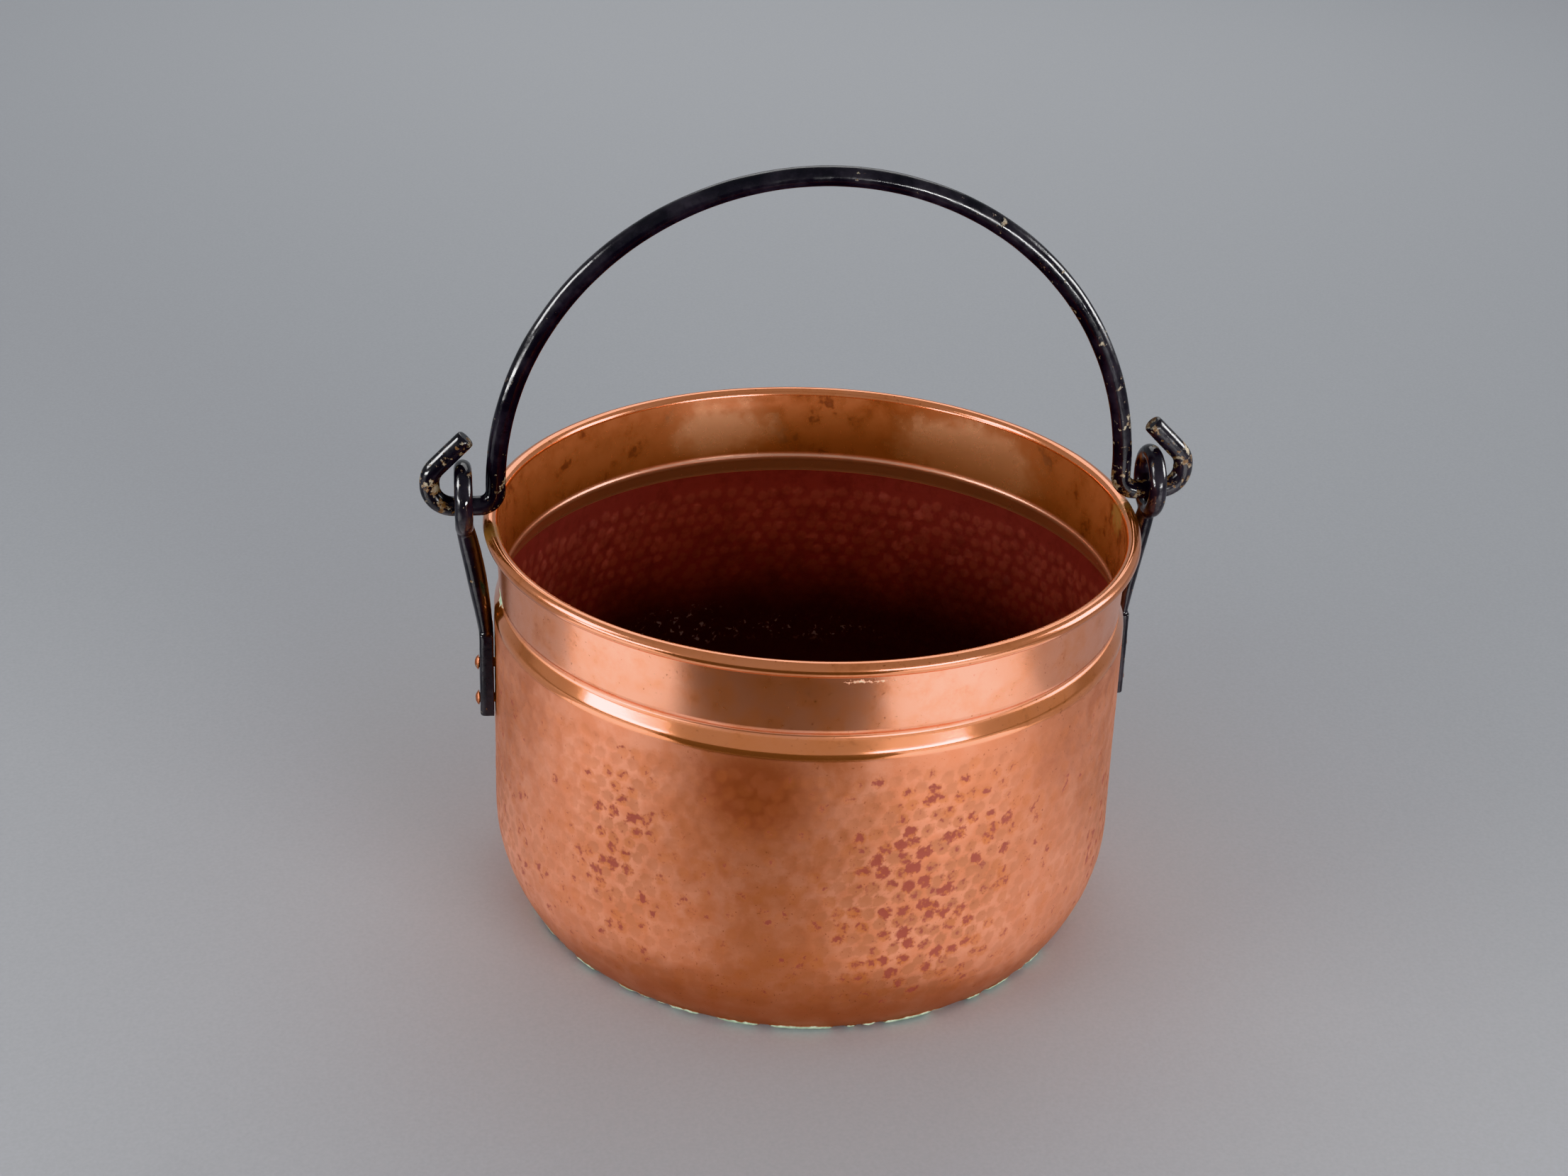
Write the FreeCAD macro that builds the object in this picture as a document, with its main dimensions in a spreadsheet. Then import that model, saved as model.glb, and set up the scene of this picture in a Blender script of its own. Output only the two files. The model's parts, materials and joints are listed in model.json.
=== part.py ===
"""Hammered copper cauldron with a swinging iron bail.

Frame: millimetres, +Z up, origin at the middle of the flat base, on the surface the pot stands on.
The two ears stand on the X axis, the bail is upright in the XZ plane at rest, and it swings about the
line through both eyes, which is parallel to X.
"""
import FreeCAD, Part
import math
import os

import Sketcher

Vector = FreeCAD.Vector
Rotation = FreeCAD.Rotation
Placement = FreeCAD.Placement

doc = FreeCAD.newDocument("copper_cauldron")
sheet = doc.addObject("Spreadsheet::Sheet", "Dims")

# name, value or formula, what it is
DIMENSIONS = [
    ("gauge", "1.2", "thickness of the copper sheet"),
    ("rim_radius", "120", "outermost radius of the rolled rim"),
    ("rim_height", "156.5", "top of the rolled rim"),
    ("wire_radius", "1.5", "iron wire inside the rolled rim"),
    ("fit_gap", "0.05", "room between pieces of the pot that fit together"),
    ("curl_open", "115", "angle below the horizontal where the roll ends, deg"),
    ("flat_radius", "99.66", "radius of the flat base"),
    ("corner_small", "9", "bend radius where the base turns up"),
    ("corner_large", "60", "bend radius where the corner runs into the wall"),
    ("corner_turn", "55", "angle turned by the small bend, deg"),
    ("wall_top_radius", "116.9", "radius of the wall under the shoulder"),
    ("wall_top_height", "119.8", "height of the wall under the shoulder"),
    ("shoulder_bend", "6", "rounding of the shoulder's lower edge"),
    ("shoulder_turn", "23.5", "slope of the shoulder from the vertical, deg"),
    ("shoulder_radius", "114.7", "radius at the top of the shoulder"),
    ("shoulder_height", "126.1", "height at the top of the shoulder"),
    ("groove_bend", "1.35", "rounding of the groove at the foot of the neck"),
    ("neck_foot_radius", "114.8", "radius at the foot of the neck"),
    ("neck_foot_height", "128.2", "height of the foot of the neck"),
    ("pivot_height", "161", "height of the line the bail swings about"),
    ("bail_bar", "3.65", "radius of the bail's round bar"),
    ("arch_radius", "115", "radius of the bail's arch, to the middle of the bar"),
    ("crank_bend", "6", "bend from a leg out through the eye"),
    ("hook_bend", "8.4", "bends of the hook outside the eye"),
    ("hook_rise", "1", "straight between the hook's two bends"),
    ("hook_turn", "45", "angle the hook's tail leans back in, deg"),
    ("hook_tail", "15.6", "length of the hook's straight tail"),
    ("ear_reach", "126.5", "distance of an eye's plane from the pot's axis"),
    ("ear_bar", "3.4", "radius of the bar the eye is bent from"),
    ("eye_ring", "10.6", "radius of the eye, to the middle of its bar"),
    ("seat_gap", "0.35", "room between the bail's bar and the bottom of the eye"),
    ("strap_width", "15", "width of an ear's riveted strap"),
    ("strap_thick", "5.5", "thickness of the strap"),
    ("strap_foot", "77.5", "height of the strap's lower end"),
    ("strap_length", "34", "length of the flat strap"),
    ("strap_round", "2.2", "rounding of the strap's outer edges"),
    ("rivet_shank", "1.9", "radius of a rivet's shank"),
    ("rivet_head", "3.1", "radius of a rivet's heads"),
    ("rivet_rise", "1.7", "height of a rivet's outer head"),
    ("rivet_set", "0.9", "height of a rivet's flatter inner head"),
    ("rivet_low", "82", "height of the lower rivets"),
    ("rivet_high", "97", "height of the upper rivets"),
    # worked out from the ones above
    ("curl_inner", "=wire_radius + fit_gap", "inside radius of the roll"),
    ("curl_outer", "=curl_inner + gauge", "outside radius of the roll"),
    ("curl_centre", "=rim_radius - curl_outer", "radius to the middle of the roll"),
    ("curl_height", "=rim_height - curl_outer", "height of the middle of the roll"),
    ("wall_foot_radius",
     "=flat_radius + corner_small * sin(corner_turn * 1 deg)"
     " + corner_large * (1 - sin(corner_turn * 1 deg))", "radius where the corner meets the wall"),
    ("wall_foot_height",
     "=corner_small * (1 - cos(corner_turn * 1 deg)) + corner_large * cos(corner_turn * 1 deg)",
     "height where the corner meets the wall"),
    ("wall_taper",
     "=(wall_foot_radius - wall_top_radius) / (wall_top_height - wall_foot_height)",
     "how much the wall draws in for each unit of height"),
    ("eye_height", "=pivot_height + eye_ring - ear_bar - bail_bar - seat_gap",
     "height of the middle of an eye"),
    ("hook_start", "=ear_reach + ear_bar + 0.1", "where the hook starts to bend"),
]

for row, (name, value, note) in enumerate(DIMENSIONS, start=1):
    sheet.set("A%d" % row, name)
    sheet.set("B%d" % row, value)
    sheet.set("C%d" % row, note)
    sheet.setAlias("B%d" % row, name)
doc.recompute()


def value_of(expression):
    """The number an expression on the sheet's names stands for."""
    return float(sheet.evalExpression(expression))


def bind(item, prop, expression):
    """Tie a property of an object to the sheet; names in the expression are the sheet's aliases."""
    item.setExpression(prop, qualified(expression))


def qualified(expression):
    """The same expression with every sheet name written as Dims.name."""
    words = []
    word = ""
    for letter in expression + " ":
        if letter.isalnum() or letter == "_":
            word += letter
            continue
        known = any(word == name for name, _, _ in DIMENSIONS)
        words.append(("Dims." + word if known else word) + letter)
        word = ""
    return "".join(words).strip()


def origin_plane(body, role):
    """One of a body's own origin planes or axes."""
    return next(item for item in body.Origin.OriginFeatures if item.Role == role)


def new_sketch(body, name, role):
    """An empty sketch on one of the body's origin planes."""
    sketch = body.newObject("Sketcher::SketchObject", name)
    sketch.AttachmentSupport = (origin_plane(body, role), [""])
    sketch.MapMode = "FlatFace"
    return sketch


def arc_through(start, end, radius, bulge, long_way):
    """An arc between two points. bulge is +1 if it bows to the left of start-to-end, -1 to the right."""
    chord = end - start
    middle = (start + end) * 0.5
    left = Vector(-chord.y, chord.x, 0).normalize()
    reach = math.sqrt(max(radius ** 2 - (chord.Length / 2) ** 2, 0))
    sagitta = radius + reach if long_way else radius - reach
    return Part.Arc(start, middle + left * (bulge * sagitta), end)


def draw_outline(sketch, corners, closed=True):
    """Draw an outline whose corners and bends follow the sheet.

    A corner is (across, up) or (across, up, radius, bulge) or (across, up, radius, bulge, "long"), where
    the last three describe the arc that leaves it. A plain corner is left by a straight line.
    """
    count = len(corners)
    points = [Vector(value_of(c[0]), value_of(c[1]), 0) for c in corners]
    edge_count = count if closed else count - 1
    for index in range(edge_count):
        start, end = points[index], points[(index + 1) % count]
        corner = corners[index]
        if len(corner) == 2:
            sketch.addGeometry(Part.LineSegment(start, end), False)
            continue
        radius = value_of(corner[2])
        sketch.addGeometry(arc_through(start, end, radius, corner[3], len(corner) == 5), False)

    def end_near(edge, point):
        """1 or 2: which end of an edge lies at a point, because a clockwise arc swaps its ends."""
        ends = {pos: sketch.getPoint(edge, pos) for pos in (1, 2)}
        return min(ends, key=lambda pos: ends[pos].distanceToPoint(point))

    for index in range(edge_count if closed else edge_count - 1):
        after = (index + 1) % edge_count
        point = points[(index + 1) % count]
        sketch.addConstraint(Sketcher.Constraint(
            "Coincident", index, end_near(index, point), after, end_near(after, point)))
    for index, point in enumerate(points):
        edge = min(index, edge_count - 1)
        pos = end_near(edge, point)
        for kind, axis, length, expression in (("DistanceX", -2, point.x, corners[index][0]),
                                               ("DistanceY", -1, point.y, corners[index][1])):
            if expression == "0":
                sketch.addConstraint(Sketcher.Constraint("PointOnObject", edge, pos, axis))
                continue
            number = sketch.addConstraint(Sketcher.Constraint(kind, -1, 1, edge, pos, length))
            bind(sketch, "Constraints[%d]" % number, expression)
    for index in range(edge_count):
        if len(corners[index]) > 2:
            number = sketch.addConstraint(
                Sketcher.Constraint("Radius", index, value_of(corners[index][2])))
            bind(sketch, "Constraints[%d]" % number, corners[index][2])


def revolve(body, name, sketch):
    """Turn a sketch once round its own vertical axis."""
    solid = body.newObject("PartDesign::Revolution", name)
    solid.Profile = sketch
    solid.ReferenceAxis = (sketch, ["V_Axis"])
    solid.Angle = 360
    body.Tip = solid
    return solid


def make_pot():
    """The copper pot: one sheet, from the middle of the base round to the end of the rolled rim."""
    body = doc.addObject("PartDesign::Body", "pot_body")
    outline = new_sketch(body, "pot_outline", "XZ_Plane")
    turn_sin = "sin(corner_turn * 1 deg)"
    turn_cos = "cos(corner_turn * 1 deg)"
    slope_sin = "sin(shoulder_turn * 1 deg)"
    slope_cos = "cos(shoulder_turn * 1 deg)"
    curl_sin = "sin(curl_open * 1 deg)"
    curl_cos = "cos(curl_open * 1 deg)"
    outside = [
        ("0", "0"),
        ("flat_radius", "0", "corner_small", -1),
        ("flat_radius + corner_small * " + turn_sin, "corner_small * (1 - %s)" % turn_cos,
         "corner_large", -1),
        ("wall_foot_radius", "wall_foot_height"),
        ("wall_top_radius", "wall_top_height", "shoulder_bend", -1),
        ("wall_top_radius - shoulder_bend * (1 - %s)" % slope_cos,
         "wall_top_height + shoulder_bend * " + slope_sin),
        ("shoulder_radius", "shoulder_height", "groove_bend", 1),
        ("neck_foot_radius", "neck_foot_height"),
        ("curl_centre - curl_inner", "curl_height", "curl_inner", 1, "long"),
        ("curl_centre + curl_inner * " + curl_cos, "curl_height - curl_inner * " + curl_sin),
    ]
    inside = [
        ("curl_centre + curl_outer * " + curl_cos, "curl_height - curl_outer * " + curl_sin,
         "curl_outer", -1, "long"),
        ("curl_centre - curl_outer", "curl_height"),
        ("neck_foot_radius - gauge", "neck_foot_height", "groove_bend + 0.75", -1),
        ("shoulder_radius - gauge * " + slope_cos, "shoulder_height - gauge * " + slope_sin),
        ("wall_top_radius - shoulder_bend + (shoulder_bend - gauge) * " + slope_cos,
         "wall_top_height + (shoulder_bend - gauge) * " + slope_sin, "shoulder_bend - gauge", 1),
        ("wall_top_radius - gauge", "wall_top_height"),
        ("wall_foot_radius - gauge", "wall_foot_height", "corner_large - gauge", 1),
        ("flat_radius + (corner_small - gauge) * " + turn_sin,
         "corner_small - (corner_small - gauge) * " + turn_cos, "corner_small - gauge", 1),
        ("flat_radius", "gauge"),
        ("0", "gauge"),
    ]
    draw_outline(outline, outside + inside)
    revolve(body, "pot_sheet", outline)
    doc.recompute()
    whole = body.Shape.Volume

    # two rivet holes through the wall on each side
    drilling = new_sketch(body, "rivet_hole_centres", "YZ_Plane")
    for height in ("rivet_low", "rivet_high"):
        centre = Vector(0, value_of(height), 0)
        circle = drilling.addGeometry(
            Part.Circle(centre, Vector(0, 0, 1), value_of("rivet_shank")), False)
        drilling.addConstraint(Sketcher.Constraint("PointOnObject", circle, 3, -2))
        number = drilling.addConstraint(
            Sketcher.Constraint("DistanceY", -1, 1, circle, 3, centre.y))
        bind(drilling, "Constraints[%d]" % number, height)
        number = drilling.addConstraint(
            Sketcher.Constraint("Radius", circle, value_of("rivet_shank")))
        bind(drilling, "Constraints[%d]" % number, "rivet_shank + fit_gap")
    holes = body.newObject("PartDesign::Pocket", "rivet_holes")
    holes.Profile = drilling
    holes.Type = "ThroughAll"
    holes.Midplane = True
    body.Tip = holes
    doc.recompute()
    drilled = whole - body.Shape.Volume
    expected = 4 * math.pi * value_of("rivet_shank + fit_gap") ** 2 * value_of("gauge")
    if abs(drilled - expected) > 0.1 * expected:
        raise RuntimeError("rivet holes removed %.1f, expected %.1f" % (drilled, expected))
    return body


def make_rim_wire():
    """The iron wire that the rim is rolled round."""
    wire = doc.addObject("Part::Torus", "rim_wire")
    bind(wire, "Radius1", "curl_centre")
    bind(wire, "Radius2", "wire_radius")
    bind(wire, "Placement.Base.z", "curl_height")
    return wire


def make_bail():
    """The bail: one bar, drawn as its right half from the top of the arch and mirrored."""
    body = doc.addObject("PartDesign::Body", "bail_handle")
    path = new_sketch(body, "bail_path", "XZ_Plane")
    turn_sin = "sin(hook_turn * 1 deg)"
    turn_cos = "cos(hook_turn * 1 deg)"
    hook_out = "hook_start + hook_bend"
    lean_in = "%s - hook_bend * (1 - %s)" % (hook_out, turn_cos)
    lean_up = "pivot_height + hook_bend * (1 + %s) + hook_rise" % turn_sin
    draw_outline(path, [
        ("0", "pivot_height + crank_bend + arch_radius", "arch_radius", 1),
        ("arch_radius", "pivot_height + crank_bend", "crank_bend", -1),
        ("arch_radius + crank_bend", "pivot_height"),
        ("hook_start", "pivot_height", "hook_bend", -1),
        (hook_out, "pivot_height + hook_bend"),
        (hook_out, "pivot_height + hook_bend + hook_rise", "hook_bend", -1),
        (lean_in, lean_up),
        ("%s - hook_tail * %s" % (lean_in, turn_sin), "%s + hook_tail * %s" % (lean_up, turn_cos)),
    ], closed=False)

    section = new_sketch(body, "bail_section", "YZ_Plane")
    top = Vector(0, value_of("pivot_height + crank_bend + arch_radius"), 0)
    circle = section.addGeometry(Part.Circle(top, Vector(0, 0, 1), value_of("bail_bar")), False)
    section.addConstraint(Sketcher.Constraint("PointOnObject", circle, 3, -2))
    number = section.addConstraint(Sketcher.Constraint("DistanceY", -1, 1, circle, 3, top.y))
    bind(section, "Constraints[%d]" % number, "pivot_height + crank_bend + arch_radius")
    number = section.addConstraint(Sketcher.Constraint("Radius", circle, value_of("bail_bar")))
    bind(section, "Constraints[%d]" % number, "bail_bar")

    half = body.newObject("PartDesign::AdditivePipe", "bail_half")
    half.Profile = section
    half.Spine = path
    body.Tip = half
    doc.recompute()

    both = body.newObject("PartDesign::Mirrored", "bail_both_halves")
    both.Originals = [half]
    both.MirrorPlane = (origin_plane(body, "YZ_Plane"), [""])
    body.Tip = both
    return body


def wall_radius_at(height):
    """The outside radius of the drawn-in wall at a height, as an expression."""
    return "wall_foot_radius - wall_taper * (%s - wall_foot_height)" % height


def turn_about_y(item, angle):
    """Tie an object's rotation to an angle about Y."""
    for axis, share in (("x", "0"), ("y", "1"), ("z", "0")):
        bind(item, "Placement.Rotation.Axis." + axis, share)
    bind(item, "Placement.Rotation.Angle", angle)


def make_ear(name, turn):
    """An iron ear: a flat riveted strap drawn out into a round shank and closed in an eye.

    It is built for the +X side and turned about Z for the other.
    """
    strap = doc.addObject("Part::Box", name + "_strap_block")
    bind(strap, "Length", "strap_thick")
    bind(strap, "Width", "strap_width")
    bind(strap, "Height", "strap_length")
    bind(strap, "Placement.Base.x", wall_radius_at("strap_foot") + " + fit_gap")
    bind(strap, "Placement.Base.y", "-strap_width / 2")
    bind(strap, "Placement.Base.z", "strap_foot")
    turn_about_y(strap, "-atan(wall_taper)")
    doc.recompute()

    rounded = doc.addObject("Part::Fillet", name + "_strap")
    rounded.Base = strap
    rounded.Edges = strap_roundings(strap.Shape)

    sections = [
        # centre outward, height, half thickness, half width
        ("wall_top_radius + strap_thick / 2", "strap_foot + strap_length - 4",
         "strap_thick / 2 - 0.2", "strap_width / 2 - 0.5"),
        ("(wall_top_radius + ear_reach) / 2 + 0.4", "strap_foot + 1.5 * strap_length",
         "ear_bar + 0.3", "ear_bar + 2"),
        ("ear_reach - 0.7", "eye_height - eye_ring - ear_bar", "ear_bar + 0.2", "ear_bar + 0.6"),
        ("ear_reach", "eye_height - eye_ring", "ear_bar - 0.01", "ear_bar"),
    ]
    rings = []
    for step, (across, height, half_thick, half_wide) in enumerate(sections):
        ring = doc.addObject("Part::Ellipse", "%s_shank_section_%d" % (name, step))
        ring.Placement.Rotation = Rotation(Vector(0, 0, 1), 90)
        bind(ring, "MajorRadius", half_wide)
        bind(ring, "MinorRadius", half_thick)
        bind(ring, "Placement.Base.x", across)
        bind(ring, "Placement.Base.z", height)
        rings.append(ring)
    shank = doc.addObject("Part::Loft", name + "_shank")
    shank.Sections = rings
    shank.Solid = True

    eye = doc.addObject("Part::Torus", name + "_eye")
    eye.Placement.Rotation = Rotation(Vector(0, 1, 0), 90)
    bind(eye, "Radius1", "eye_ring")
    bind(eye, "Radius2", "ear_bar")
    bind(eye, "Placement.Base.x", "ear_reach")
    bind(eye, "Placement.Base.z", "eye_height")

    forged = doc.addObject("Part::MultiFuse", name + "_forging")
    forged.Shapes = [rounded, shank, eye]

    drills = []
    for height in ("rivet_low", "rivet_high"):
        drill = doc.addObject("Part::Cylinder", "%s_drill_%s" % (name, height))
        bind(drill, "Radius", "rivet_shank + fit_gap")
        bind(drill, "Height", "2 * strap_thick")
        bind(drill, "Placement.Base.x", wall_radius_at(height))
        bind(drill, "Placement.Base.z", height)
        turn_about_y(drill, "90 deg - atan(wall_taper)")
        drills.append(drill)
    drilling = doc.addObject("Part::MultiFuse", name + "_rivet_holes")
    drilling.Shapes = drills

    ear = doc.addObject("Part::Cut", name)
    ear.Base = forged
    ear.Tool = drilling
    ear.Placement = Placement(Vector(0, 0, 0), Rotation(Vector(0, 0, 1), turn))
    return ear


def strap_roundings(block):
    """The strap's two long outer edges, as (edge number, radius, radius)."""
    radius = value_of("strap_round")
    middle = block.BoundBox.Center.x
    chosen = []
    for number, edge in enumerate(block.Edges, start=1):
        upright = abs(edge.tangentAt(edge.FirstParameter).z) > 0.9
        if upright and edge.CenterOfMass.x > middle:
            chosen.append((number, radius, radius))
    return chosen


def make_rivet(name, height, turn):
    """A copper rivet: domed head on the strap, shank through strap and wall, flatter set head inside."""
    body = doc.addObject("PartDesign::Body", name)
    outline = new_sketch(body, name + "_outline", "XZ_Plane")
    seat = "strap_thick + 2 * fit_gap"
    set_seat = "-gauge - fit_gap"
    dome = "(rivet_head * rivet_head + rivet_rise * rivet_rise) / (2 * rivet_rise)"
    flat_dome = "(rivet_head * rivet_head + rivet_set * rivet_set) / (2 * rivet_set)"
    draw_outline(outline, [
        ("0", set_seat + " - rivet_set", flat_dome, -1),
        ("rivet_head", set_seat),
        ("rivet_shank", set_seat),
        ("rivet_shank", seat),
        ("rivet_head", seat, dome, -1),
        ("0", seat + " + rivet_rise"),
    ])
    revolve(body, name + "_turned", outline)

    # the rivet's own +Z points out of the wall, square to it
    lean = math.degrees(math.atan(value_of("wall_taper")))
    outward = Rotation(Vector(0, 1, 0), 90 - lean)
    on_wall = Vector(value_of(wall_radius_at(height)), 0, value_of(height))
    seat_point = Placement(on_wall, outward)
    body.Placement = Placement(Vector(0, 0, 0), Rotation(Vector(0, 0, 1), turn)).multiply(seat_point)
    return body


RIGHT, LEFT = 0, 180
parts = [make_pot(), make_rim_wire(), make_bail()]
for side, turn in (("right", RIGHT), ("left", LEFT)):
    parts.append(make_ear("ear_" + side, turn))
    for place, height in (("upper", "rivet_high"), ("lower", "rivet_low")):
        parts.append(make_rivet("rivet_%s_%s" % (side, place), height, turn))
doc.recompute()

for item in doc.Objects:
    if "Invalid" in item.State or "Error" in item.State:
        raise RuntimeError("%s failed: %s" % (item.Name, item.State))
for part in parts:
    if part.Shape.isNull() or not part.Shape.isValid() or len(part.Shape.Solids) != 1:
        raise RuntimeError("%s has no single valid solid" % part.Name)

os.makedirs("parts", exist_ok=True)
for part in parts:
    part.Label = part.Name
    part.Shape.exportStep("parts/%s.step" % part.Label)
    box = part.Shape.optimalBoundingBox(False)
    print("%-20s %9.0f mm3   z %7.2f to %7.2f   x %7.2f to %7.2f" % (
        part.Label, part.Shape.Volume, box.ZMin, box.ZMax, box.XMin, box.XMax))
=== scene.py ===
"""Looks of the hammered copper cauldron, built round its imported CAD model.

Metres, in the CAD's own frame: +Z up, the pot's axis on Z, the base on z = 0 and the ears on the X axis.
The pot is one closed lathed sheet with real hammer marks, the bail is a swept bar, and the ears and rivets
are the CAD's own shapes with forged and hammered surfaces.
"""
import json
import math

import bmesh
import bpy
import numpy as np
from mathutils import Matrix, Vector, kdtree, noise


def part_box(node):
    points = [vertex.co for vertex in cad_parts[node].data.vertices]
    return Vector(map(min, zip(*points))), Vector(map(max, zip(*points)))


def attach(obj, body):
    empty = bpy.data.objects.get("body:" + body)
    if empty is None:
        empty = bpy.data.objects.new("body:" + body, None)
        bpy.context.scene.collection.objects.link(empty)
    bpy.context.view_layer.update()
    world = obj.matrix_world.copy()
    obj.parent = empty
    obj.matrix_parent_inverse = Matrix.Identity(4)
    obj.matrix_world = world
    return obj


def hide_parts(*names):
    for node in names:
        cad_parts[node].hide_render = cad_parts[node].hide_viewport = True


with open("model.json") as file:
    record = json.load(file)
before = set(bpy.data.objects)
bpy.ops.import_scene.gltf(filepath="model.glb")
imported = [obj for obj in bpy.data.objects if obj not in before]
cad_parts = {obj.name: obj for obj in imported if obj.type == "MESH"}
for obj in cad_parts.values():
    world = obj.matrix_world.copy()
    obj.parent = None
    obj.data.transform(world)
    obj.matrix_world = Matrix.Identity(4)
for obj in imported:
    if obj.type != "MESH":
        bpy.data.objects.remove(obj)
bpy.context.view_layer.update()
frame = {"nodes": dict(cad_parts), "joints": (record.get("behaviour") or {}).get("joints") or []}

MM = 0.001
SEED = 24

# --- the pot's shape, in millimetres, as the CAD draws it -------------------------------------------
GAUGE = 1.2
RIM_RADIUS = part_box("pot_body")[1].y / MM
RIM_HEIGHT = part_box("pot_body")[1].z / MM
CURL_INNER = 1.55
CURL_OUTER = CURL_INNER + GAUGE
CURL_CENTRE = (RIM_RADIUS - CURL_OUTER, RIM_HEIGHT - CURL_OUTER)
CURL_END = -115
FLAT_RADIUS = 99.66
CORNER_SMALL = 9
CORNER_LARGE = 60
CORNER_TURN = 55
WALL_TOP = (116.9, 119.8)
SHOULDER_BEND = 6
SHOULDER_TURN = 23.5
SHOULDER_TOP = (114.7, 126.1)
GROOVE_BEND = 1.35
RIDGE_BEND = GROOVE_BEND + 0.75  # the groove's back, on the inside
NECK_FOOT = (114.8, 128.2)
FIRST_RING = 2  # radius of the smallest ring round the axis

# --- hammer marks, in millimetres ---------------------------------------------------------------------
MARK_PITCH = 6.0
MARK_RADIUS = 3.1
MARK_DEPTH = 0.2
MARK_JITTER = 0.75
MARKS_LOW = 12  # the marks' middles lie between these heights
MARKS_HIGH = 115.5
MARKS_FROM = 6  # points below this height have no mark
FADE_IN = (8, 22)  # the marks grow to their full depth between these heights
FADE_OUT = (115.5, 120.5)

# --- uneven sheet and the crust at its base, in millimetres -------------------------------------------
UNEVEN_BROAD = 0.22
UNEVEN_FINE = 0.05
UNEVEN_BEAD = 0.10
CRUST_TOP = 6
CRUST_THICK = 0.75
CRUST_LUMPS = 5  # size of its lumps

AROUND = 480  # mesh columns round the pot
WAVES = 7  # waves summed for an uneven surface


def turned(centre, radius, degrees):
    """The point of a circle at an angle above the horizontal."""
    angle = math.radians(degrees)
    return (centre[0] + radius * math.cos(angle), centre[1] + radius * math.sin(angle))


def straight(start, end, step):
    """Points from start up to, but not including, end."""
    count = max(1, round(math.dist(start, end) / step))
    return [tuple(a + (b - a) * i / count for a, b in zip(start, end)) for i in range(count)]


def bend(centre, radius, first, last, step):
    """Points on an arc between two angles in degrees, without the last one."""
    count = max(2, round(abs(math.radians(last - first)) * radius / step))
    return [turned(centre, radius, first + (last - first) * i / count) for i in range(count)]


def arc_centre(start, end, radius, side):
    """The centre of the short arc from start to end; side is +1 if it lies left of that direction."""
    a, b = np.array(start), np.array(end)
    across = b - a
    reach = math.sqrt(radius ** 2 - np.dot(across, across) / 4)
    left = np.array((-across[1], across[0])) / np.linalg.norm(across)
    return tuple((a + b) / 2 + left * reach * side)


def angle_at(centre, point):
    """The angle in degrees at which a point lies from a centre."""
    return math.degrees(math.atan2(point[1] - centre[1], point[0] - centre[0]))


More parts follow.
